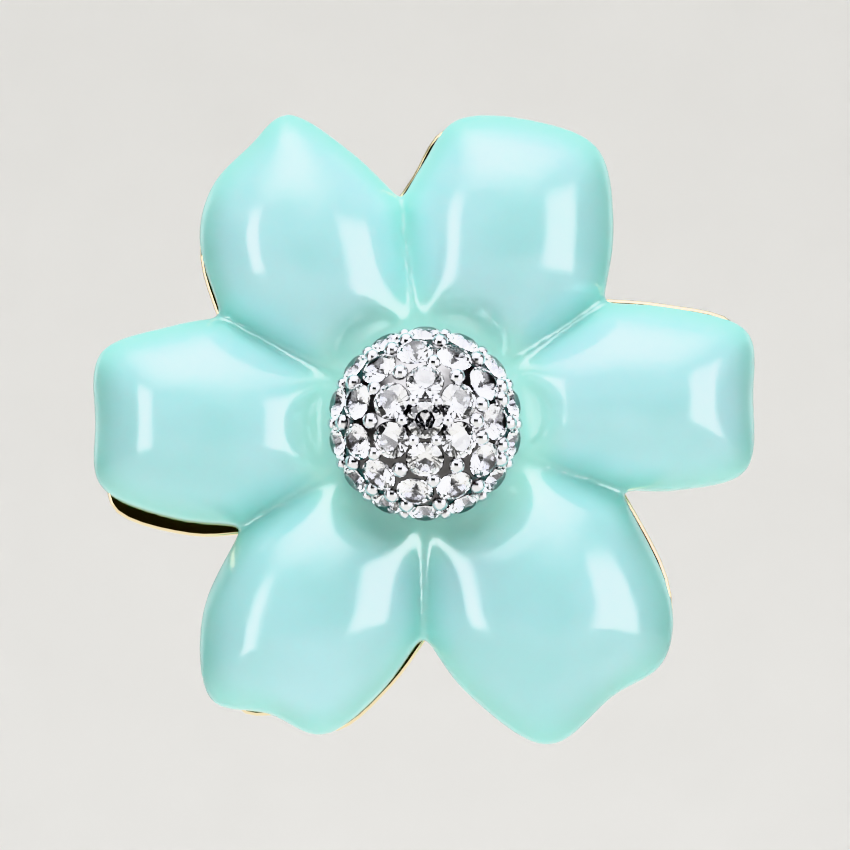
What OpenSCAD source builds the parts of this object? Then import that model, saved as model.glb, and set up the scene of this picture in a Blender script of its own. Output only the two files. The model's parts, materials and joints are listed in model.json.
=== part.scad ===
// Clip-on earring: a moulded resin flower with a pave ball, on a gold-tone plate with a bent clip.
// The flower faces -Y, +Z is up as worn, and the origin is the middle of the gap that holds the ear lobe.

/* [Flower] */
// Reach of a petal tip of share 1 from the flower's centre
flower_r = 16.2; // [14:0.1:20]
// Height of each petal's crown above the flat back of the resin
petal_h = 4.8; // [3.8:0.1:6.5]
// Height of the upright edge round the petals
rim_h = 1.4; // [0.8:0.1:2]
// Height of the resin under the centre setting
seat_h = 2.8; // [1.8:0.1:3]
// Flat resin left showing round the centre setting
seat_margin = 0.1; // [0.05:0.05:0.5]
// Depth of the rounding along the valleys between petals
valley_round = 0.5; // [0.1:0.05:0.8]

/* [Back plate] */
// Thickness of the plate
plate_t = 1; // [0.6:0.1:1.6]
// How far the plate's edge lies inside the petals' edge
plate_inset = 0.4; // [0.2:0.05:0.9]
// Turn of the whole plate against the petals, in degrees, which shows its edge on one side of each
plate_turn = 3.5; // [0:0.5:5]
// Further turn of the plate's lobe under the left petal, in degrees
shown_lobe_turn = 2.5; // [0:0.5:5]

/* [Centre setting] */
// Radius of the ball over the tops of its stones
ball_r = 4.7; // [4.2:0.05:5.4]
// Radius of the plain collar under the ball
collar_r = 4.5; // [4.4:0.05:5.3]
// Height of the collar
collar_h = 0.9; // [0.6:0.1:1.6]
// Radius of the post through the resin
post_r = 2.4; // [1.5:0.1:3]

/* [Stones] */
// Diameter of a stone at its girdle
stone_d = 1.78; // [1.5:0.01:2.1]
// Metal left between two neighbouring seats
stone_wall = 0.04; // [0.03:0.01:0.12]
// Height of a stone above its girdle
stone_top_h = 0.28; // [0.2:0.01:0.36]
// Depth of a stone below its girdle
stone_point_h = 0.72; // [0.6:0.01:0.85]
// Thickness of the girdle
girdle_h = 0.06; // [0.03:0.01:0.1]

/* [Clip] */
// Gap between the two pads, as wide as the lobe it holds
lobe_gap = 4.5; // [4.4:0.1:6]
// Thickness of the clip's metal
clip_t = 0.8; // [0.6:0.05:1.2]
// Radius of the two round pads
pad_r = 5; // [4:0.1:6]
// Width of the strip that joins the pads
strip_w = 5; // [3.5:0.1:6.5]
// Distance from the middle of the pads down to the centre of the bend
bend_drop = 6.2; // [5.8:0.1:7]
// Radius of the outward curve at the top of the rear pad
lip_r = 5; // [3:0.5:8]
// Height of that curve
lip_h = 1.8; // [1:0.1:2.4]

/* [Fit] */
// Gap between glued pieces
glue_gap = 0.05; // [0.03:0.01:0.1]
// Clearance round each stone and round the post
fit_gap = 0.03; // [0.02:0.01:0.08]

/* [Hidden] */
// The six petals, counterclockwise from the right one. Each has its direction in degrees, the places along
// its edge as [angle from that direction, reach], and the valley after it as [angle, reach]. The places are
// the belly and the corner of its one side, its notch, and the corner and the belly of its other side.
// Reaches are shares of flower_r.
PETALS = [
    [5.5, [[-19.6, 0.78], [-13.2, 0.97], [0, 0.985], [11, 1.005], [19.5, 0.835]], [34.9, 0.65]],
    [71, [[-24.5, 0.82], [-13, 0.98], [0, 0.97], [13, 0.925], [19.5, 0.785]], [95.9, 0.68]],
    [122, [[-17, 0.85], [-8.5, 1.02], [0, 0.99], [9.6, 0.96], [18.8, 0.87]], [151.6, 0.69]],
    [179.5, [[-21.2, 0.815], [-12.4, 0.995], [0, 0.985], [11, 0.985], [20.2, 0.806]], [208.5, 0.62]],
    [241.5, [[-21.6, 0.865], [-10, 1.035], [0, 0.975], [10.3, 0.97], [18.8, 0.81]], [269.5, 0.62]],
    [305, [[-25.8, 0.81], [-14, 1.02], [0, 0.98], [10.5, 1.0], [20.7, 0.885]], [342.1, 0.615]]
];
function direction(petal) = petal[0];
function edge_places(petal) = petal[1];
function valley(petal) = petal[2];
function angle(place) = place[0];
function reach(place) = place[1] * flower_r;
// The petal whose plate lobe shows
SHOWN_LOBE = 3;

// Steps along each of the six stretches of a petal's outline, from the crown in and out, and along the seat
outline_steps = 5;
inner_steps = 7;
outer_steps = 9;
seat_steps = 5;
// Where the steps are widest, as a share of the way from the seat to the petal's edge
crown_share = 0.47;

// Roundness of a petal at its edge: 0 is a parabola, 1 ends upright
petal_round = 0.75;
// Above 1 a petal's crown is broader and its sides are steeper, below 1 it is more pointed
crown_flat = 0.6;

// The stack from the ear lobe outwards, as distances in front of the origin
plate_back = lobe_gap / 2 + clip_t + glue_gap;
resin_back = plate_back + plate_t + glue_gap;
collar_back = resin_back + seat_h + glue_gap;
ball_centre = collar_back + collar_h;

// The resin's flat seat and the bore for the post
seat_r = max(collar_r, ball_r) + seat_margin;
bore_r = post_r + fit_gap;

// Radii of a stone's table and of the points of its star facets, as shares of its own radius
table_share = 0.56;
star_share = 0.8;

// The girdles lie on a sphere, with the stones in rings round one in the middle, and the metal between them
// stands a little over the girdles
girdle_r = ball_r - stone_top_h;
metal_over_girdle = 0.02;
metal_r = girdle_r + metal_over_girdle;
// Radius of a seat's cone at its tip
seat_tip_r = 0.1;
stone_pitch = stone_d + 2 * fit_gap + stone_wall;
ring_spread = 1.03;
ring_step = 2 * asin(stone_pitch / (2 * girdle_r)) * ring_spread;
// The last ring's seats stay above the collar
last_ring_angle = atan(girdle_r / (stone_d / 2 + fit_gap));
ring_count = floor(last_ring_angle / ring_step);
function stones_in_ring(ring) =
    ring == 0 ? 1 : floor(180 / asin(stone_pitch / (2 * girdle_r * sin(ring * ring_step))));
stone_places = [
    for (ring = [0:ring_count])
        for (i = [0:stones_in_ring(ring) - 1])
            [ring * ring_step, (i + (ring % 2) / 2) * 360 / stones_in_ring(ring)]
];
stone_count = len(stone_places);

function on_circle(r, angle) = [r * cos(angle), r * sin(angle)];
function angle_of(p) = atan2(p[1], p[0]);
function turned(p, angle) = [p[0] * cos(angle) - p[1] * sin(angle), p[0] * sin(angle) + p[1] * cos(angle)];

// A smooth curve through four points, between the second and the third
function curve(a, b, c, d, u) =
    0.5 * (2 * b + (c - a) * u + (2 * a - 5 * b + 4 * c - d) * u * u + (3 * b - a - 3 * c + d) * u * u * u);

// A point of a petal's edge, moved in by the inset and turned to its place
function edge_point(place, inset, turn) =
    let (p = on_circle(reach(place), angle(place)))
    let (aside = p[1] - sign(p[1]) * min(inset, abs(p[1])))
    turned([p[0] - inset, aside], turn);

function valley_point(i, inset) =
    let (place = valley(PETALS[(i + len(PETALS)) % len(PETALS)]))
    on_circle(reach(place) - inset, angle(place));

function petal_corners(i, inset, turn) =
    concat(
        [valley_point(i - 1, inset)],
        [for (place = edge_places(PETALS[i])) edge_point(place, inset, direction(PETALS[i]) + turn)],
        [valley_point(i, inset)]
    );

// A petal's outline, without its last point, which starts the next petal
function petal_outline(i, inset, turn) =
    let (c = petal_corners(i, inset, turn))
    let (last = len(c) - 1)
    [
        for (k = [0:last - 1])
            let (before = k == 0 ? 2 * c[0] - c[1] : c[k - 1])
            let (after = k == last - 1 ? 2 * c[last] - c[last - 1] : c[k + 2])
            for (j = [0:outline_steps - 1])
                curve(before, c[k], c[k + 1], after, j / outline_steps)
    ];

function flower_outline(inset, turn) =
    [for (i = [0:len(PETALS) - 1]) each petal_outline(i, inset, i == SHOWN_LOBE ? turn : 0)];

// Height of a round form from 1 in its middle to 0 at its edge
function dome(q, roundness) =
    let (foot = sqrt(1 - roundness * roundness))
    (sqrt(max(0, 1 - pow(roundness * q, 2))) - foot) / (1 - foot);

function total(values) = values * [for (v = values) 1];

// What a straight stretch of a petal's border from a to b takes from the free room round a point. A point on
// the stretch counts as least_off away from it.
least_off = 0.001;
function crowding(p, a, b) =
    let (unit = (b - a) / norm(b - a))
    let (before = (a - p) * unit)
    let (after = (b - p) * unit)
    let (off = max(least_off, abs(cross(unit, p - a))))
    (atan2(after, off) - atan2(before, off)) / off;

// Distance from a point to a closed border, smooth also where several sides are equally near
function free_room(p, border) =
    let (last = len(border) - 1)
    180 / total([for (k = [0:last]) crowding(p, border[k], border[k == last ? 0 : k + 1])]);

// A petal's border: its outline, and along the seat back from the valley after it to the one before
function petal_border(i, edge) =
    let (start = angle_of(edge[0]))
    let (width = (angle(valley(PETALS[i])) - start + 2 * 360) % 360)
    concat(
        edge,
        [valley_point(i, 0)],
        [for (j = [seat_steps:-1:0]) on_circle(seat_r, start + width * j / seat_steps)]
    );

// Shares of the way from the seat to the petal's edge, denser at both ends, where the form is steepest
shares = concat(
    [for (j = [inner_steps:-1:1]) crown_share * (1 - sin(90 * j / inner_steps))],
    [for (j = [0:outer_steps]) crown_share + (1 - crown_share) * sin(90 * j / outer_steps)]
);

function petal_height(share, room) =
    let (base = seat_h + (rim_h - seat_h) * share)
    let (full = petal_h - base)
    let (soft = valley_round * (1 - share))
    let (rise = full * dome(pow(1 - room, crown_flat), petal_round))
    base + (norm([rise, soft]) - soft) * full / (norm([full, soft]) - soft);

// Spokes of points from the bore's back edge, over the seat and the petal, to the back of the outline
function petal_spokes(i) =
    let (edge = petal_outline(i, 0, 0))
    let (border = petal_border(i, edge))
    let (grid = [for (p = edge) let (q = on_circle(seat_r, angle_of(p))) [for (u = shares) q + (p - q) * u]])
    let (room = [for (line = grid) [for (p = line) free_room(p, border)]])
    let (most = max([for (line = room) max(line)]))
    [
        for (k = [0:len(edge) - 1])
            let (bore = on_circle(bore_r, angle_of(edge[k])))
            let (heights = [for (j = [0:len(shares) - 1]) petal_height(shares[j], room[k][j] / most)])
            concat(
                [concat(bore, 0), concat(bore, seat_h)],
                [for (j = [0:len(shares) - 1]) concat(grid[k][j], heights[j])],
                [concat(edge[k], 0)]
            )
    ];

// A closed skin over spokes of points, where the last spoke meets the first and each ends where it starts
module spoke_solid(spokes) {
    n = len(spokes);
    m = len(spokes[0]);
    polyhedron(
        points = [for (spoke = spokes) each spoke],
        faces = [
            for (k = [0:n - 1])
                for (j = [0:m - 1])
                    let (a = k * m + j)
                    let (b = (k + 1) % n * m + j)
                    let (c = (k + 1) % n * m + (j + 1) % m)
                    let (d = k * m + (j + 1) % m)
                    each [[a, b, c], [a, c, d]]
        ],
        convexity = 8
    );
}

// Lays a piece that is drawn face up at a distance in front of the origin
module facing_front(distance) {
    translate([0, -distance, 0])
        rotate([90, 0, 0])
            children();
}

module resin_flower() {
    color("#a9dddf")
        facing_front(resin_back)
            spoke_solid([for (i = [0:len(PETALS) - 1]) each petal_spokes(i)]);
}

module back_plate() {
    color("#d9b25c")
        facing_front(plate_back)
            rotate(plate_turn)
                linear_extrude(plate_t)
                    polygon(flower_outline(plate_inset, shown_lobe_turn));
}

// Places a child that points up at a stone's place on the ball
module at_stone(place) {
    rotate([0, 0, place[1]])
        rotate([0, place[0], 0])
            translate([0, 0, girdle_r])
                children();
}

// Room for a stone: a straight opening over a cone
module seat_cut() {
    cut_r = stone_d / 2 + fit_gap;
    cone_top = -girdle_h - fit_gap;
    translate([0, 0, cone_top])
        cylinder(h = ball_r, r = cut_r, $fn = 48);
    translate([0, 0, cone_top - stone_point_h])
        cylinder(h = stone_point_h, r1 = seat_tip_r, r2 = cut_r, $fn = 48);
}

module pave_setting() {
    color("#c9c9cb")
        facing_front(ball_centre)
            difference() {
                union() {
                    intersection() {
                        sphere(r = metal_r, $fn = 96);
                        cylinder(h = ball_r, r = collar_r, $fn = 96);
                    }
                    translate([0, 0, -collar_h])
                        cylinder(h = collar_h, r = collar_r, $fn = 96);
                    translate([0, 0, resin_back - ball_centre])
                        cylinder(h = collar_back - resin_back, r = post_r, $fn = 64);
                }
                for (place = stone_places)
                    at_stone(place)
                        seat_cut();
            }
}

// A round brilliant with 8 star, 8 kite and 16 edge facets over 16 lower facets
module stone(place) {
    r = stone_d / 2;
    star_h = stone_top_h * (1 - (star_share * cos(22.5) - table_share) / (1 - table_share));
    corners = concat(
        [for (k = [0:7]) concat(on_circle(r * table_share, 45 * k), stone_top_h)],
        [for (k = [0:7]) concat(on_circle(r * star_share, 45 * k + 22.5), star_h)],
        [for (k = [0:15]) concat(on_circle(r, 22.5 * k), 0)],
        [for (k = [0:15]) concat(on_circle(r, 22.5 * k), -girdle_h)],
        [[0, 0, -girdle_h - stone_point_h]]
    );
    star = 8;
    girdle = 16;
    under = 32;
    point = 48;
    facets = concat(
        [[7, 6, 5, 4, 3, 2, 1, 0]],
        [for (k = [0:7]) [k, (k + 1) % 8, star + k]],
        [for (k = [0:7]) [k, star + k, girdle + 2 * k, star + (k + 7) % 8]],
        [for (k = [0:7]) [star + k, girdle + 2 * k + 1, girdle + 2 * k]],
        [for (k = [0:7]) [star + k, girdle + (2 * k + 2) % 16, girdle + 2 * k + 1]],
        [for (k = [0:15]) [girdle + k, girdle + (k + 1) % 16, under + (k + 1) % 16, under + k]],
        [for (k = [0:15]) [under + k, under + (k + 1) % 16, point]]
    );
    color("#e8ebee")
        facing_front(ball_centre)
            at_stone(place)
                polyhedron(points = corners, faces = facets, convexity = 2);
}

// Part of a flat ring, kept inside the rectangle from one corner to the other
module ring_part(inner_r, outer_r, low, high) {
    intersection() {
        difference() {
            circle(r = outer_r, $fn = 96);
            circle(r = inner_r, $fn = 96);
        }
        translate(low)
            square(high - low);
    }
}

// The clip's side view: front pad, bend under the lobe, rear arm and the curve at its top
module clip_side() {
    near = lobe_gap / 2;
    far = near + clip_t;
    lip_z = pad_r - lip_h;
    translate([-far, -bend_drop])
        square([clip_t, bend_drop + pad_r]);
    translate([near, -bend_drop])
        square([clip_t, bend_drop + lip_z]);
    translate([0, -bend_drop])
        ring_part(near, far, [-far, -far], [far, 0]);
    translate([far + lip_r, lip_z])
        ring_part(lip_r, lip_r + clip_t, [-lip_r - clip_t, 0], [0, lip_h]);
}

// The clip's front view: both pads and the strip between them
module clip_front() {
    circle(r = pad_r, $fn = 96);
    translate([-strip_w / 2, -bend_drop - lobe_gap])
        square([strip_w, bend_drop + lobe_gap]);
}

// The side view as wide as the pads, cut to the front view by a blank that is deeper than the clip
module clip() {
    wide = 2 * max(pad_r, strip_w);
    deep = 2 * (lobe_gap + clip_t + lip_h);
    color("#d9b25c")
        intersection() {
            rotate([90, 0, 90])
                linear_extrude(wide, center = true)
                    clip_side();
            rotate([90, 0, 0])
                linear_extrude(deep, center = true)
                    clip_front();
        }
}

resin_flower();
back_plate();
pave_setting();
clip();
for (i = [1:stone_count])
    stone(stone_places[i - 1]);
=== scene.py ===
import json
import math
import bpy
from itertools import combinations
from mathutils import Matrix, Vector

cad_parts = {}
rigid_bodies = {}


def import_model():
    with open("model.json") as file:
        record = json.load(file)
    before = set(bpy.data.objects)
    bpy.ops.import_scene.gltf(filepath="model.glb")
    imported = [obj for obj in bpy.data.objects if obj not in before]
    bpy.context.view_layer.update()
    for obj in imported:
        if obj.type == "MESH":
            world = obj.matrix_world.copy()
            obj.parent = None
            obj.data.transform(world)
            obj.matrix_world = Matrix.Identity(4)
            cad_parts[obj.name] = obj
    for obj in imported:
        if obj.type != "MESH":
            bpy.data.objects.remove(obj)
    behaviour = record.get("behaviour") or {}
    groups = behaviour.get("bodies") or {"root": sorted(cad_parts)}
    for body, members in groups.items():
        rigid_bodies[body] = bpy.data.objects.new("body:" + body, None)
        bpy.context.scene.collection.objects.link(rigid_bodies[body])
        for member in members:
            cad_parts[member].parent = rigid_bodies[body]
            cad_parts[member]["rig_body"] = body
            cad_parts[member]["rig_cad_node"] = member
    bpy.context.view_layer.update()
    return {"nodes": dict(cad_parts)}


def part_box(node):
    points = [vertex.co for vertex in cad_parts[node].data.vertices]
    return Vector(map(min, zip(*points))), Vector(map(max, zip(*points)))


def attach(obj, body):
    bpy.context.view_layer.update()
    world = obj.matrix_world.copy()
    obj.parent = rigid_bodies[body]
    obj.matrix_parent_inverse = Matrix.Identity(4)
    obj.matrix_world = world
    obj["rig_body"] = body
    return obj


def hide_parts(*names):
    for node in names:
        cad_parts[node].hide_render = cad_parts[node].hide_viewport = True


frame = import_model()
nodes = frame["nodes"]
print("frame loaded:", len(nodes), "solids")

mm = 0.001                       # the dictionaries hold millimetres, the scene is in metres
weldGap = 0.002 * mm             # corners of a solid's loose triangles closer than this are one point
crumb = 0.001 * mm               # length of the shortest edges that joining two shapes leaves
flatAngle = math.radians(0.5)    # faces that turn less than this from each other are one flat face
cornerAngle = math.radians(50)   # edges sharper than this are a stamped sheet's corners
smoothAngle = math.radians(35)   # edges softer than this are shaded as one surface


# shared helpers

def linearColour(hexCode):
    # turns an sRGB colour such as "#9CDAD4" to the linear one that a shader takes
    channels = [int(hexCode[start:start + 2], 16) / 255 for start in (1, 3, 5)]
    linear = [c / 12.92 if c <= 0.04045 else ((c + 0.055) / 1.055) ** 2.4 for c in channels]
    return (*linear, 1.0)


def addNode(tree, kind, settings=None, links=None):
    # a key is the name or the number of an input, or the name of one of the node's own settings
    node = tree.nodes.new(kind)
    for key, value in (settings or {}).items():
        if isinstance(key, int) or key in node.inputs:
            node.inputs[key].default_value = value
        else:
            setattr(node, key, value)
    for key, socket in (links or {}).items():
        tree.links.new(socket, node.inputs[key])
    return node


def startMaterial(name):
    material = bpy.data.materials.new(name)
    material.use_nodes = True
    material.node_tree.nodes.clear()
    return material, material.node_tree


def pickOnly(obj):
    bpy.ops.object.select_all(action="DESELECT")
    obj.select_set(True)
    bpy.context.view_layer.objects.active = obj


def editAll(obj):
    pickOnly(obj)
    bpy.ops.object.mode_set(mode="EDIT")
    bpy.ops.mesh.select_all(action="SELECT")


def leaveEdit():
    bpy.ops.object.mode_set(mode="OBJECT")


def applyModifier(obj, kind, settings):
    pickOnly(obj)
    modifier = obj.modifiers.new(kind.title(), kind)
    for name, value in settings.items():
        setattr(modifier, name, value)
    bpy.ops.object.modifier_apply(modifier=modifier.name)


def copyOfNode(nodeName, pieceName):
    # a welded copy of a solid, to be dressed in place of it
    piece = nodes[nodeName].copy()
    piece.data = nodes[nodeName].data.copy()
    piece.name = pieceName
    piece.data.name = pieceName
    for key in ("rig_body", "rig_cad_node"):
        del piece[key]
    piece.parent = None
    bpy.context.scene.collection.objects.link(piece)
    editAll(piece)
    bpy.ops.mesh.remove_doubles(threshold=weldGap)
    bpy.ops.mesh.customdata_custom_splitnormals_clear()
    leaveEdit()
    return piece


def selectEdges(obj, wanted):
    # leaves the object in edit mode, with the edges picked whose two ends both pass the test
    editAll(obj)
    bpy.ops.mesh.select_all(action="DESELECT")
    bpy.ops.mesh.select_mode(type="EDGE")
    leaveEdit()
    points = obj.data.vertices
    for edge in obj.data.edges:
        edge.select = all(wanted(points[end].co) for end in edge.vertices)
    bpy.ops.object.mode_set(mode="EDIT")


def finishPiece(obj, material, replaced):
    obj.data.materials.clear()
    obj.data.materials.append(material)
    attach(obj, "root")
    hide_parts(replaced)


# petals: one casting with soft valleys and a flat back

petals = {
    "voxel": 0.15,               # size of the cells that the casting is meshed in again
    "smoothing": 36,             # rounds of smoothing, which melt the petals into each other
    "valleyShadeColour": "#9CDAD4",     # painted shade: darker and greener in the valleys and along the low edge
    "crownColour": "#ACDFE1",    # on the crowns
    "cloudColour": "#B8E5EA",    # where more of the filler has settled
    "ballShadeColour": "#ABE6DC",     # painted shade: a greener tone round the ball, where the casting is dished
    "ballShadeReach": (5.0, 7.5),     # distances from the middle over which it fades
    "valleyShadeShare": 0.35,           # shares of the petals' height between which the painted valley shade fades
    "crownShare": 0.75,
    "cloudSize": 6.0,            # clouds of filler in a casting this big are some millimetres across
    "cloudBand": (0.35, 0.7),    # values of the noise between which the two colours blend
    "waveSize": 3.5,             # the casting's faint unevenness after polishing
    "waveHeight": 0.012,
    "waveBand": (0.3, 0.7),
    "roughness": (0.1, 0.2),
    "gritSize": 0.25,            # marks of the polishing grit, far coarser than real ones so that they show
    "gritHeight": 0.0015,
    "ior": 1.55,
    "soak": 0.6,                 # share of the light that soaks in
    "soakReach": (0.7, 1.5, 1.4),    # and how many millimetres red, green and blue light go
}


def makeResin(settings):
    # resin cast with a milky filler and polished: light soaks in and glows; the valleys, the low edges and
    # the ring round the ball get a painted greener shade
    material, tree = startMaterial("polishedCastResin")
    place = addNode(tree, "ShaderNodeTexCoord").outputs["Object"]
    low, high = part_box("resin_flower")
    depth = high[1] - low[1]
    height = addNode(tree, "ShaderNodeSeparateXYZ", links={"Vector": place}).outputs["Y"]
    # painted shade: points lower down, nearer the flat back, get more of the darker, greener valley colour
    thickness = addNode(tree, "ShaderNodeMapRange", {
        "interpolation_type": "SMOOTHSTEP",
        "From Min": high[1] - depth * settings["valleyShadeShare"],
        "From Max": high[1] - depth * settings["crownShare"],
    }, {"Value": height}).outputs["Result"]
    filler = addNode(tree, "ShaderNodeTexNoise", {"Scale": 1 / (settings["cloudSize"] * mm)},
                     {"Vector": place}).outputs["Fac"]
    cloud = addNode(tree, "ShaderNodeMapRange", {
        "interpolation_type": "SMOOTHSTEP",
        "From Min": settings["cloudBand"][0],
        "From Max": settings["cloudBand"][1],
    }, {"Value": filler}).outputs["Result"]
    crownColour = addNode(tree, "ShaderNodeMix", {
        "data_type": "RGBA",
        6: linearColour(settings["crownColour"]),
        7: linearColour(settings["cloudColour"]),
    }, {0: cloud}).outputs[2]
    bodyColour = addNode(tree, "ShaderNodeMix", {
        "data_type": "RGBA",
        6: linearColour(settings["valleyShadeColour"]),
    }, {0: thickness, 7: crownColour}).outputs[2]
    # painted shade: near the ball the colour turns greener
    flat = addNode(tree, "ShaderNodeMapping", {"Scale": (1, 0, 1)}, {"Vector": place}).outputs["Vector"]
    fromMiddle = addNode(tree, "ShaderNodeVectorMath", {"operation": "LENGTH"}, {0: flat}).outputs["Value"]
    clearOfBallShade = addNode(tree, "ShaderNodeMapRange", {
        "interpolation_type": "SMOOTHSTEP",
        "From Min": settings["ballShadeReach"][0] * mm,
        "From Max": settings["ballShadeReach"][1] * mm,
    }, {"Value": fromMiddle}).outputs["Result"]
    colour = addNode(tree, "ShaderNodeMix", {
        "data_type": "RGBA",
        6: linearColour(settings["ballShadeColour"]),
    }, {0: clearOfBallShade, 7: bodyColour}).outputs[2]
    waves = addNode(tree, "ShaderNodeTexNoise", {"Scale": 1 / (settings["waveSize"] * mm)},
                    {"Vector": place}).outputs["Fac"]
    roughness = addNode(tree, "ShaderNodeMapRange", {
        "From Min": settings["waveBand"][0],
        "From Max": settings["waveBand"][1],
        "To Min": settings["roughness"][0],
        "To Max": settings["roughness"][1],
    }, {"Value": waves}).outputs["Result"]
    grit = addNode(tree, "ShaderNodeTexNoise", {"Scale": 1 / (settings["gritSize"] * mm)},
                   {"Vector": place}).outputs["Fac"]
    wavy = addNode(tree, "ShaderNodeBump", {"Distance": settings["waveHeight"] * mm},
                   {"Height": waves}).outputs["Normal"]
    bumpy = addNode(tree, "ShaderNodeBump", {"Distance": settings["gritHeight"] * mm},
                    {"Height": grit, "Normal": wavy}).outputs["Normal"]
    shader = addNode(tree, "ShaderNodeBsdfPrincipled", {
        "IOR": settings["ior"],
        "Subsurface Weight": settings["soak"],
        "Subsurface Radius": settings["soakReach"],
        "Subsurface Scale": mm,
    }, {"Base Color": colour, "Roughness": roughness, "Normal": bumpy})
    addNode(tree, "ShaderNodeOutputMaterial", links={"Surface": shader.outputs["BSDF"]})
    return material


def buildPetals(settings):
    flower = copyOfNode("resin_flower", "petals")
    applyModifier(flower, "REMESH", {"mode": "VOXEL", "voxel_size": settings["voxel"] * mm})
    applyModifier(flower, "SMOOTH", {"iterations": settings["smoothing"]})
    pickOnly(flower)
    bpy.ops.object.shade_smooth()
    finishPiece(flower, makeResin(settings), "resin_flower")
    print("petals:", len(flower.data.polygons), "faces")


buildPetals(petals)

# plate and clip: stamped from sheet, edges rounded, gold plated

plate = {
    "node": "back_plate",
    "piece": "plate",
    "edge": 0.14,                # how far in from the corner the rounding starts
    "edgeSteps": 4,
    "wallSlope": 0.9,            # faces that look less than this towards the front or back are its cut edge
}

earClip = {
    "node": "clip",
    "piece": "ear_clip",
    "edge": 0.2,
    "edgeSteps": 4,
    "wallSlope": 0.0,            # the strip bends, so only its rounded edges are told apart
}

gold = {
    "colour": "#DFBD76",
    "paleColour": "#EACF98",     # where the plating is thinner
    "edgeWearAndHighlightColour": "#F3E2BA",     # rounded edges: paler where the wheel rubs most, and a painted highlight along them
    "cloudSize": 7.0,            # patches of thinner plating
    "cloudDetail": 4.0,
    "cloudBand": (0.3, 0.7),
    "dentSize": 2.5,             # the sheet's faint unevenness from the press
    "dentHeight": 0.004,
    "hairlineGap": 0.09,         # polishing lines, coarser than real ones so that they show
    "hairlineDepth": 0.0012,
    "hairlineDetail": 3.0,
    "hairlineStretch": 40.0,     # how many times longer than wide a line is
    "hairlineBand": (0.35, 0.7),
    "roughness": (0.04, 0.13),
}


def makeGold(settings):
    # brass with a gold plating, polished on a wheel: warm mirror, slightly wavy, with haze and hairlines
    material, tree = startMaterial("polishedGoldPlating")
    place = addNode(tree, "ShaderNodeTexCoord").outputs["Object"]
    patches = addNode(tree, "ShaderNodeTexNoise", {
        "Scale": 1 / (settings["cloudSize"] * mm),
        "Detail": settings["cloudDetail"],
    }, {"Vector": place}).outputs["Fac"]
    cloud = addNode(tree, "ShaderNodeMapRange", {
        "From Min": settings["cloudBand"][0],
        "From Max": settings["cloudBand"][1],
    }, {"Value": patches}).outputs["Result"]
    faceColour = addNode(tree, "ShaderNodeMix", {
        "data_type": "RGBA",
        6: linearColour(settings["colour"]),
        7: linearColour(settings["paleColour"]),
    }, {0: cloud}).outputs[2]
    # painted highlight and wear: the rounded edges are drawn paler
    onEdge = addNode(tree, "ShaderNodeAttribute", {"attribute_name": "edgeWearAndHighlight"}).outputs["Fac"]
    colour = addNode(tree, "ShaderNodeMix", {
        "data_type": "RGBA",
        7: linearColour(settings["edgeWearAndHighlightColour"]),
    }, {0: onEdge, 6: faceColour}).outputs[2]
    drawn = addNode(tree, "ShaderNodeMapping", {"Scale": (1 / settings["hairlineStretch"], 1, 1)},
                    {"Vector": place}).outputs["Vector"]
    hairlines = addNode(tree, "ShaderNodeTexNoise", {
        "Scale": 1 / (settings["hairlineGap"] * mm),
        "Detail": settings["hairlineDetail"],
    }, {"Vector": drawn}).outputs["Fac"]
    roughness = addNode(tree, "ShaderNodeMapRange", {
        "From Min": settings["hairlineBand"][0],
        "From Max": settings["hairlineBand"][1],
        "To Min": settings["roughness"][0],
        "To Max": settings["roughness"][1],
    }, {"Value": hairlines}).outputs["Result"]
    dents = addNode(tree, "ShaderNodeTexNoise", {"Scale": 1 / (settings["dentSize"] * mm)},
                    {"Vector": place}).outputs["Fac"]
    dented = addNode(tree, "ShaderNodeBump", {"Distance": settings["dentHeight"] * mm},
                     {"Height": dents}).outputs["Normal"]
    scratched = addNode(tree, "ShaderNodeBump", {"Distance": settings["hairlineDepth"] * mm},
                        {"Height": hairlines, "Normal": dented}).outputs["Normal"]
    shader = addNode(tree, "ShaderNodeBsdfPrincipled", {"Metallic": 1.0},
                     {"Base Color": colour, "Roughness": roughness, "Normal": scratched})
    addNode(tree, "ShaderNodeOutputMaterial", links={"Surface": shader.outputs["BSDF"]})
    return material


def markEdges(piece, settings):
    # the bevel leaves its new faces selected: points inside them, or on the cut edge, get a 1, and are drawn
    # in the paler edge colour of wear and painted highlight
    sheetPoints = set()
    for face in piece.data.polygons:
        if not face.select and abs(face.normal.y) >= settings["wallSlope"]:
            sheetPoints.update(face.vertices)
    edgeWearAndHighlight = piece.data.attributes.new("edgeWearAndHighlight", "FLOAT", "POINT")
    for point in piece.data.vertices:
        edgeWearAndHighlight.data[point.index].value = 0.0 if point.index in sheetPoints else 1.0


def buildSheetPiece(settings, material):
    piece = copyOfNode(settings["node"], settings["piece"])
    editAll(piece)
    bpy.ops.mesh.dissolve_limited(angle_limit=flatAngle)
    bpy.ops.mesh.select_all(action="DESELECT")
    bpy.ops.mesh.select_mode(type="EDGE")
    bpy.ops.mesh.edges_select_sharp(sharpness=cornerAngle)
    bpy.ops.mesh.bevel(offset=settings["edge"] * mm, segments=settings["edgeSteps"], clamp_overlap=False)
    leaveEdit()
    markEdges(piece, settings)
    pickOnly(piece)
    bpy.ops.object.shade_smooth_by_angle(angle=smoothAngle)
    applyModifier(piece, "WEIGHTED_NORMAL", {"keep_sharp": True})
    finishPiece(piece, material, settings["node"])
    print(settings["piece"] + ":", len(piece.data.polygons), "faces")


goldPlating = makeGold(gold)
buildSheetPiece(plate, goldPlating)
buildSheetPiece(earClip, goldPlating)

# stones: brilliant cut, kept as the frame has them

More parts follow.
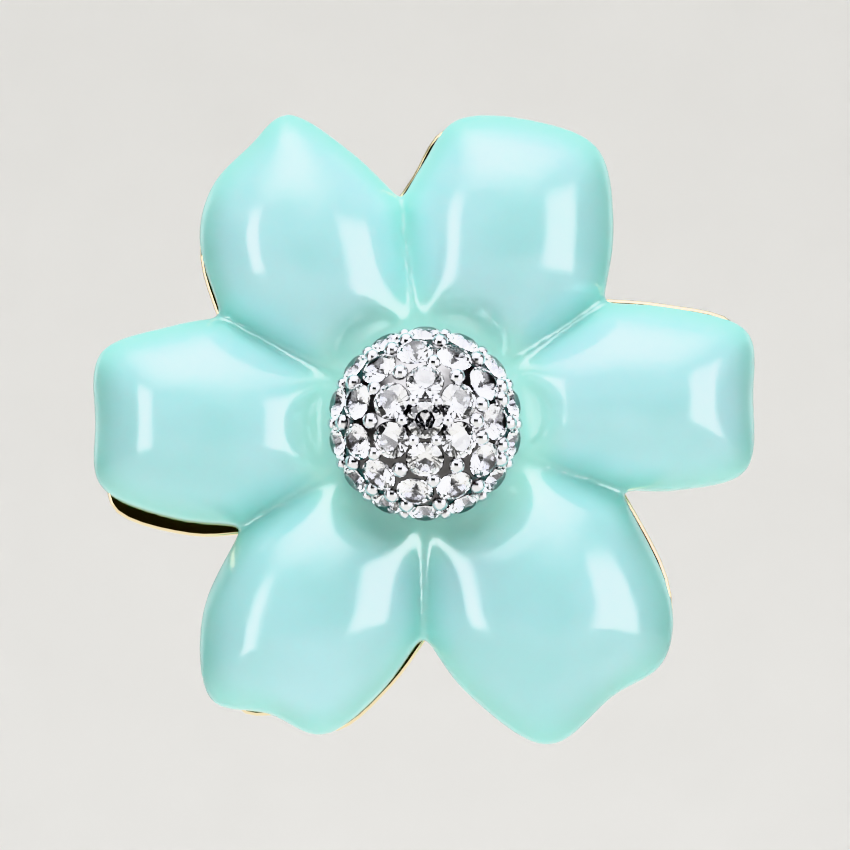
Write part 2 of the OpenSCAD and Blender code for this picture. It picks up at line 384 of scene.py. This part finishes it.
stones = {
    "colour": "#FFFFFF",
    "tintColour": "#F3F4F8",     # the glass is not quite even, some facets look a little bluer
    "tintSize": 0.9,             # close to a stone's width, so that neighbours differ
    "tintBand": (0.4, 0.6),
    "hazeSize": 0.25,            # wipe marks on the facets
    "hazeBand": (0.5, 0.75),
    "roughness": (0.0, 0.03),
    "ior": 1.7,                  # leaded glass, matched to the sparkle
}


def makeCrystal(settings):
    # cut crystal glass, machine polished: clear, with bright and dark facets that trade places as it turns
    material, tree = startMaterial("cutCrystalGlass")
    place = addNode(tree, "ShaderNodeTexCoord").outputs["Object"]
    tints = addNode(tree, "ShaderNodeTexNoise", {"Scale": 1 / (settings["tintSize"] * mm)},
                    {"Vector": place}).outputs["Fac"]
    tint = addNode(tree, "ShaderNodeMapRange", {
        "From Min": settings["tintBand"][0],
        "From Max": settings["tintBand"][1],
    }, {"Value": tints}).outputs["Result"]
    colour = addNode(tree, "ShaderNodeMix", {
        "data_type": "RGBA",
        6: linearColour(settings["colour"]),
        7: linearColour(settings["tintColour"]),
    }, {0: tint}).outputs[2]
    haze = addNode(tree, "ShaderNodeTexNoise", {"Scale": 1 / (settings["hazeSize"] * mm)},
                   {"Vector": place}).outputs["Fac"]
    roughness = addNode(tree, "ShaderNodeMapRange", {
        "From Min": settings["hazeBand"][0],
        "From Max": settings["hazeBand"][1],
        "To Min": settings["roughness"][0],
        "To Max": settings["roughness"][1],
    }, {"Value": haze}).outputs["Result"]
    shader = addNode(tree, "ShaderNodeBsdfPrincipled", {"IOR": settings["ior"], "Transmission Weight": 1.0},
                     {"Base Color": colour, "Roughness": roughness})
    addNode(tree, "ShaderNodeOutputMaterial", links={"Surface": shader.outputs["BSDF"]})
    return material


def dressStones(names, settings):
    crystal = makeCrystal(settings)
    for name in names:
        nodes[name].data.materials.clear()
        nodes[name].data.materials.append(crystal)
    print("stones:", len(names))


stoneNames = sorted((n for n in nodes if n.startswith("stone_")), key=lambda n: int(n.split("_")[1]))
dressStones(stoneNames, stones)

# ball setting: a seat for each stone, and the raised grains of metal that hold them

ballSetting = {
    "collarEdge": 0.14,          # rounding of the collar's outer edge
    "collarSteps": 3,
    "rimShare": 0.999,           # points farther out than this share of the setting are on the collar's edge
    "neighbourShare": 2.0,       # stones closer than this many stone widths are neighbours
    "mergeShare": 0.35,          # grains closer than this share of a stone's width become one
    "slack": 0.01,               # angles and heights that differ by less than this count as the same
    "overEdge": 0.08,            # how far a grain reaches over the edges of its stones
    "grainRadius": (0.18, 0.42),
    "grainSegments": 12,
    "grainRings": 8,
    "grainSink": 0.05,           # how far a grain's middle lies under the ball's surface
    "collarLean": 0.14,          # how far the grains of the last ring lean back to the collar
    "brightColour": "#D8D8DA",
    "darkColour": "#2B2927",     # darker lower down, between the stones
    "foilColour": "#A6A6AA",
    "dullFoilColour": "#47474B",     # seats whose foil sits badly and sends less light back
    "foilPatch": 1.4,            # about a stone's width, so that seats next to each other differ
    "foilPatchBand": (0.42, 0.6),
    "grainBand": (-0.04, 0.14),  # heights over the ball's surface between which dark turns bright
    "foilBand": (-0.28, -0.12),  # and between which foil turns into plating
    "hazeSize": 0.8,             # patches that the cloth polished less
    "hazeBand": (0.3, 0.7),
    "roughness": (0.08, 0.22),
}


def makeRhodium(settings, ballCentre, surface):
    # brass with a rhodium plating: lighter on the grains' tops, darker lower down between the stones, and a
    # silvered foil down in each seat that throws the light back through the stone
    material, tree = startMaterial("polishedRhodiumPlating")
    place = addNode(tree, "ShaderNodeTexCoord").outputs["Object"]
    fromCentre = addNode(tree, "ShaderNodeVectorMath", {"operation": "DISTANCE", 1: ballCentre},
                         {0: place}).outputs["Value"]
    onGrain = addNode(tree, "ShaderNodeMapRange", {
        "interpolation_type": "SMOOTHSTEP",
        "From Min": surface + settings["grainBand"][0] * mm,
        "From Max": surface + settings["grainBand"][1] * mm,
    }, {"Value": fromCentre}).outputs["Result"]
    metalColour = addNode(tree, "ShaderNodeMix", {
        "data_type": "RGBA",
        6: linearColour(settings["darkColour"]),
        7: linearColour(settings["brightColour"]),
    }, {0: onGrain}).outputs[2]
    overSeat = addNode(tree, "ShaderNodeMapRange", {
        "interpolation_type": "SMOOTHSTEP",
        "From Min": surface + settings["foilBand"][0] * mm,
        "From Max": surface + settings["foilBand"][1] * mm,
    }, {"Value": fromCentre}).outputs["Result"]
    patches = addNode(tree, "ShaderNodeTexNoise", {"Scale": 1 / (settings["foilPatch"] * mm)},
                      {"Vector": place}).outputs["Fac"]
    dull = addNode(tree, "ShaderNodeMapRange", {
        "From Min": settings["foilPatchBand"][0],
        "From Max": settings["foilPatchBand"][1],
    }, {"Value": patches}).outputs["Result"]
    foilColour = addNode(tree, "ShaderNodeMix", {
        "data_type": "RGBA",
        6: linearColour(settings["foilColour"]),
        7: linearColour(settings["dullFoilColour"]),
    }, {0: dull}).outputs[2]
    colour = addNode(tree, "ShaderNodeMix", {"data_type": "RGBA"},
                     {0: overSeat, 6: foilColour, 7: metalColour}).outputs[2]
    haze = addNode(tree, "ShaderNodeTexNoise", {"Scale": 1 / (settings["hazeSize"] * mm)},
                   {"Vector": place}).outputs["Fac"]
    roughness = addNode(tree, "ShaderNodeMapRange", {
        "From Min": settings["hazeBand"][0],
        "From Max": settings["hazeBand"][1],
        "To Min": settings["roughness"][0],
        "To Max": settings["roughness"][1],
    }, {"Value": haze}).outputs["Result"]
    shader = addNode(tree, "ShaderNodeBsdfPrincipled", {"Metallic": 1.0},
                     {"Base Color": colour, "Roughness": roughness})
    addNode(tree, "ShaderNodeOutputMaterial", links={"Surface": shader.outputs["BSDF"]})
    return material


def middleOf(obj):
    points = [point.co for point in obj.data.vertices]
    return sum(points, Vector()) / len(points)


def findBallCentre(middles):
    # the point on the Y axis that is as far from the first stone as from the last one
    first, last = middles[0], middles[-1]
    return Vector((0, (last.length_squared - first.y ** 2) / (2 * (last.y - first.y)), 0))


def findGrains(directions, stoneAngle, settings):
    # a grain stands where three stones meet, and between the collar and each two stones of the last ring
    # next to it: as (direction, angle to the nearest stone's middle)
    near = settings["neighbourShare"] * stoneAngle
    slack = settings["slack"]
    spots = []
    for one, two, three in combinations(directions, 3):
        if max(one.angle(two), two.angle(three), three.angle(one)) > near:
            continue
        spot = (two - one).cross(three - one).normalized()
        spot = spot if spot.dot(one) > 0 else -spot
        if min(spot.angle(stone) for stone in directions) > spot.angle(one) - slack:
            spots.append(spot)
    lastRing = [stone for stone in directions if abs(stone.y - directions[-1].y) < slack]
    lean = Vector((0, settings["collarLean"], 0))
    for one, two in combinations(lastRing, 2):
        if one.angle(two) < near:
            spots.append(((one + two).normalized() + lean).normalized())
    grains = []
    while spots:
        group = [spot for spot in spots if spot.angle(spots[0]) < settings["mergeShare"] * stoneAngle]
        spots = [spot for spot in spots if spot not in group]
        spot = (sum(group, Vector()) / len(group)).normalized()
        grains.append((spot, min(spot.angle(stone) for stone in directions)))
    return grains


def roundedCollar(settings):
    setting = copyOfNode("pave_setting", "ball_setting")
    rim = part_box("pave_setting")[1][0] * settings["rimShare"]
    selectEdges(setting, lambda co: math.hypot(co.x, co.z) > rim)
    bpy.ops.mesh.bevel(offset=settings["collarEdge"] * mm, segments=settings["collarSteps"])
    leaveEdit()
    return setting


def addGrain(settings, place, direction, radius):
    bpy.ops.object.select_all(action="DESELECT")
    turn = direction.to_track_quat("Z", "Y").to_euler()
    bpy.ops.mesh.primitive_uv_sphere_add(segments=settings["grainSegments"], radius=radius, location=place,
                                         ring_count=settings["grainRings"], rotation=turn)
    grain = bpy.context.object
    bpy.ops.object.transform_apply(location=True, rotation=True, scale=True)
    return grain


def fuseGrains(setting, grains):
    pickOnly(grains[0])
    for grain in grains:
        grain.select_set(True)
    bpy.ops.object.join()
    applyModifier(setting, "BOOLEAN", {"operation": "UNION", "object": grains[0], "solver": "MANIFOLD"})
    bpy.data.objects.remove(grains[0])
    editAll(setting)
    bpy.ops.mesh.remove_doubles(threshold=crumb)
    bpy.ops.mesh.quads_convert_to_tris(quad_method="BEAUTY", ngon_method="BEAUTY")
    leaveEdit()
    pickOnly(setting)
    bpy.ops.object.shade_smooth_by_angle(angle=smoothAngle)


def buildSetting(stoneNames, settings):
    middles = [middleOf(nodes[name]) for name in stoneNames]
    ballCentre = findBallCentre(middles)
    directions = [(middle - ballCentre).normalized() for middle in middles]
    low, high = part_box(stoneNames[0])
    stoneWidth = high[0] - low[0]
    metalRadius = max((point.co - ballCentre).length for point in nodes["pave_setting"].data.vertices
                      if point.co.y < ballCentre.y - stoneWidth)
    setting = roundedCollar(settings)
    smallest, largest = [radius * mm for radius in settings["grainRadius"]]
    grains = []
    for spot, away in findGrains(directions, stoneWidth / metalRadius, settings):
        radius = away * metalRadius - stoneWidth / 2 + settings["overEdge"] * mm
        place = ballCentre + spot * (metalRadius - settings["grainSink"] * mm)
        grains.append(addGrain(settings, place, spot, min(max(radius, smallest), largest)))
    fuseGrains(setting, grains)
    finishPiece(setting, makeRhodium(settings, ballCentre, metalRadius), "pave_setting")
    print("ball_setting:", len(setting.data.polygons), "faces,", len(grains), "grains")


buildSetting(stoneNames, ballSetting)

# paper sweep: pale, under and behind the earring

paperSweep = {
    "size": 2400.0,
    "forward": 300.0,            # how far its middle stands in front of the earring
    "drop": 160.0,               # how far the floor lies under the earring
    "height": 1400.0,
    "curve": 350.0,              # where the floor bends up into the wall
    "curveSteps": 16,
    "colour": "#E7E6E3",
    "fleckColour": "#E2E1DE",
    "fleckSize": 12.0,           # clouds in the pulp, some millimetres across
    "roughness": 0.9,
    "fadeCentre": (0.0, 1200.0, 700.0),  # a point behind the part of the wall that the lamps light most
    "fadeReach": (1150.0, 1900.0),   # distances from it over which their light runs out
    "farTone": 0.6,              # and how bright the paper is drawn past them
}


def makePaper(settings):
    # matt paper off a roll: soft, without any gloss
    material, tree = startMaterial("uncoatedPaper")
    place = addNode(tree, "ShaderNodeTexCoord").outputs["Object"]
    flecks = addNode(tree, "ShaderNodeTexNoise", {"Scale": 1 / (settings["fleckSize"] * mm)},
                     {"Vector": place}).outputs["Fac"]
    colour = addNode(tree, "ShaderNodeMix", {
        "data_type": "RGBA",
        6: linearColour(settings["colour"]),
        7: linearColour(settings["fleckColour"]),
    }, {0: flecks}).outputs[2]
    # out where the lamps don't reach, the paper is drawn pale for the view alone and lights nothing
    fromCentre = addNode(tree, "ShaderNodeVectorMath", {
        "operation": "DISTANCE",
        1: Vector(settings["fadeCentre"]) * mm,
    }, {0: place}).outputs["Value"]
    far = addNode(tree, "ShaderNodeMapRange", {
        "interpolation_type": "SMOOTHSTEP",
        "From Min": settings["fadeReach"][0] * mm,
        "From Max": settings["fadeReach"][1] * mm,
        "To Max": settings["farTone"],
    }, {"Value": fromCentre}).outputs["Result"]
    seen = addNode(tree, "ShaderNodeLightPath").outputs["Is Camera Ray"]
    tone = addNode(tree, "ShaderNodeMath", {"operation": "MULTIPLY"}, {0: far, 1: seen}).outputs[0]
    shader = addNode(tree, "ShaderNodeBsdfPrincipled", {
        "Roughness": settings["roughness"],
        "Emission Color": linearColour(settings["colour"]),
    }, {"Base Color": colour, "Emission Strength": tone})
    addNode(tree, "ShaderNodeOutputMaterial", links={"Surface": shader.outputs["BSDF"]})
    return material


def buildSweep(settings):
    bpy.ops.object.select_all(action="DESELECT")
    bpy.ops.mesh.primitive_plane_add(size=settings["size"] * mm,
                                     location=(0, -settings["forward"] * mm, -settings["drop"] * mm))
    sweep = bpy.context.object
    sweep.name = "paperSweep"
    selectEdges(sweep, lambda co: co.y > 0)
    bpy.ops.mesh.extrude_region_move(TRANSFORM_OT_translate={"value": (0, 0, settings["height"] * mm)})
    leaveEdit()
    selectEdges(sweep, lambda co: co.y > 0 and co.z < settings["height"] / 2 * mm)
    bpy.ops.mesh.bevel(offset=settings["curve"] * mm, segments=settings["curveSteps"])
    leaveEdit()
    pickOnly(sweep)
    bpy.ops.object.shade_smooth()
    sweep.data.materials.append(makePaper(settings))
    print("paper sweep ready")


buildSweep(paperSweep)

# dark card: out of view in front of the earring, it darkens what the flat metal reflects

darkCard = {
    "size": 900.0,
    "away": 850.0,
    "thickness": 3.0,
    "colour": "#0B0B0C",
    "napColour": "#0E0E0F",
    "napSize": 2.0,              # strokes in the pile, drawn coarse as the card is far away
    "roughness": 1.0,
}


def makeFlock(settings):
    # flocked card: its short pile swallows nearly all light
    material, tree = startMaterial("flockedCard")
    place = addNode(tree, "ShaderNodeTexCoord").outputs["Object"]
    nap = addNode(tree, "ShaderNodeTexNoise", {"Scale": 1 / (settings["napSize"] * mm)},
                  {"Vector": place}).outputs["Fac"]
    colour = addNode(tree, "ShaderNodeMix", {
        "data_type": "RGBA",
        6: linearColour(settings["colour"]),
        7: linearColour(settings["napColour"]),
    }, {0: nap}).outputs[2]
    shader = addNode(tree, "ShaderNodeBsdfPrincipled", {"Roughness": settings["roughness"]},
                     {"Base Color": colour})
    addNode(tree, "ShaderNodeOutputMaterial", links={"Surface": shader.outputs["BSDF"]})
    return material


def buildCard(settings):
    bpy.ops.object.select_all(action="DESELECT")
    bpy.ops.mesh.primitive_plane_add(size=settings["size"] * mm, location=(0, -settings["away"] * mm, 0),
                                     rotation=(math.radians(90), 0, 0))
    card = bpy.context.object
    card.name = "darkCard"
    applyModifier(card, "SOLIDIFY", {"thickness": settings["thickness"] * mm})
    card.visible_camera = card.visible_diffuse = False
    card.data.materials.append(makeFlock(settings))
    print("dark card ready")


buildCard(darkCard)

# lights: upright softboxes at the sides and behind, a large one overhead, a faint sheet in front, and
# fills that leave no reflection

lights = {
    "aim": (0.0, -7.0, 0.0),
    "softboxColour": "#FBFBFF",
    "softboxes": [               # seen in the gloss: name, place, size, watts, share that fades at an edge
        ("rightSoftbox", (330, -250, 0), (380, 500), 7.4, 0.22),
        ("leftSoftbox", (-330, -250, 0), (140, 500), 3.2, 0.25),
        ("topSoftbox", (-40, -180, 430), (900, 900), 33.0, 0.45),
        ("frontSheet", (60, -640, 300), (420, 260), 0.35, 0.3),
        ("rearRightSoftbox", (420, 420, 120), (380, 480), 0.8, 0.35),
        ("rearLeftSoftbox", (-420, 420, 120), (380, 480), 0.8, 0.35),
    ],
    "fills": [                   # light the body of each piece and the paper: name, place, size, watts
        ("frontFill", (0, -650, 320), (600, 600), 2.05),
        ("topFill", (0, -120, 430), (500, 400), 2.8),
        ("wallLight", (0, 450, 700), (700, 300), 8.0),
    ],
    "airColour": "#E9E8E6",
    "airLight": 0.25,            # how bright it is as a light
    "airBackdrop": 0.9,          # how bright the air looks past the paper's edges
}


def turnTowards(obj, target):
    obj.rotation_euler = (Vector(target) * mm - obj.location).to_track_quat("-Z", "Y").to_euler()


def addLamp(name, place, size, power, settings):
    light = bpy.data.lights.new(name, "AREA")
    light.shape = "RECTANGLE"
    light.size, light.size_y = [side * mm for side in size]
    light.energy = power
    lamp = bpy.data.objects.new(name, light)
    bpy.context.scene.collection.objects.link(lamp)
    lamp.location = Vector(place) * mm
    lamp.visible_camera = False
    turnTowards(lamp, settings["aim"])
    return lamp


def fadeEdges(light, share):
    # the cloth of a softbox is brightest in its middle and fades towards its edges
    light.use_nodes = True
    tree = light.node_tree
    spot = addNode(tree, "ShaderNodeNewGeometry").outputs["Parametric"]
    sides = addNode(tree, "ShaderNodeSeparateXYZ", links={"Vector": spot}).outputs
    glow = []
    for side in (sides["X"], sides["Y"]):
        for start, end in ((0.0, share), (1.0, 1.0 - share)):
            glow.append(addNode(tree, "ShaderNodeMapRange", {
                "interpolation_type": "SMOOTHSTEP",
                "From Min": start,
                "From Max": end,
            }, {"Value": side}).outputs["Result"])
    while len(glow) > 1:
        glow.append(addNode(tree, "ShaderNodeMath", {"operation": "MULTIPLY"},
                            {0: glow.pop(), 1: glow.pop()}).outputs[0])
    tree.links.new(glow[0], tree.nodes["Emission"].inputs["Strength"])


def buildAir(settings):
    world = bpy.data.worlds.new("studioAir")
    bpy.context.scene.world = world
    world.use_nodes = True
    tree = world.node_tree
    seen = addNode(tree, "ShaderNodeLightPath").outputs["Is Camera Ray"]
    strength = addNode(tree, "ShaderNodeMapRange", {
        "To Min": settings["airLight"],
        "To Max": settings["airBackdrop"],
    }, {"Value": seen}).outputs["Result"]
    tree.nodes["Background"].inputs["Color"].default_value = linearColour(settings["airColour"])
    tree.links.new(strength, tree.nodes["Background"].inputs["Strength"])


def buildLights(settings):
    for name, place, size, power, fade in settings["softboxes"]:
        softbox = addLamp(name, place, size, power, settings)
        softbox.data.color = linearColour(settings["softboxColour"])[:3]
        softbox.visible_diffuse = False
        fadeEdges(softbox.data, fade)
    for name, place, size, power in settings["fills"]:
        fill = addLamp(name, place, size, power, settings)
        fill.visible_glossy = fill.visible_transmission = False
    buildAir(settings)
    print("lights:", len(settings["softboxes"]), "softboxes,", len(settings["fills"]), "fills")


buildLights(lights)

# camera: a long lens, a touch below the flower's height and looking up at it, as in the photograph

camera = {
    "aim": (0.0, -7.0, 0.0),
    "distance": 600.0,
    "elevation": -2.5,
    "frameWidth": 41.0,          # width of the view at the flower
    "sensor": 36.0,
    "clipReach": (10.0, 10000.0),    # nearest and farthest things that it sees
}


def buildCamera(settings):
    data = bpy.data.cameras.new("camera")
    eye = bpy.data.objects.new("camera", data)
    bpy.context.scene.collection.objects.link(eye)
    tilt = math.radians(settings["elevation"])
    away = Vector((0, -math.cos(tilt), math.sin(tilt))) * settings["distance"]
    eye.location = (Vector(settings["aim"]) + away) * mm
    turnTowards(eye, settings["aim"])
    data.sensor_width = settings["sensor"]
    data.lens = settings["sensor"] * settings["distance"] / settings["frameWidth"]
    data.clip_start, data.clip_end = [reach * mm for reach in settings["clipReach"]]
    bpy.context.scene.camera = eye
    bpy.context.scene.view_settings.view_transform = "Khronos PBR Neutral"
    print("camera ready")


buildCamera(camera)
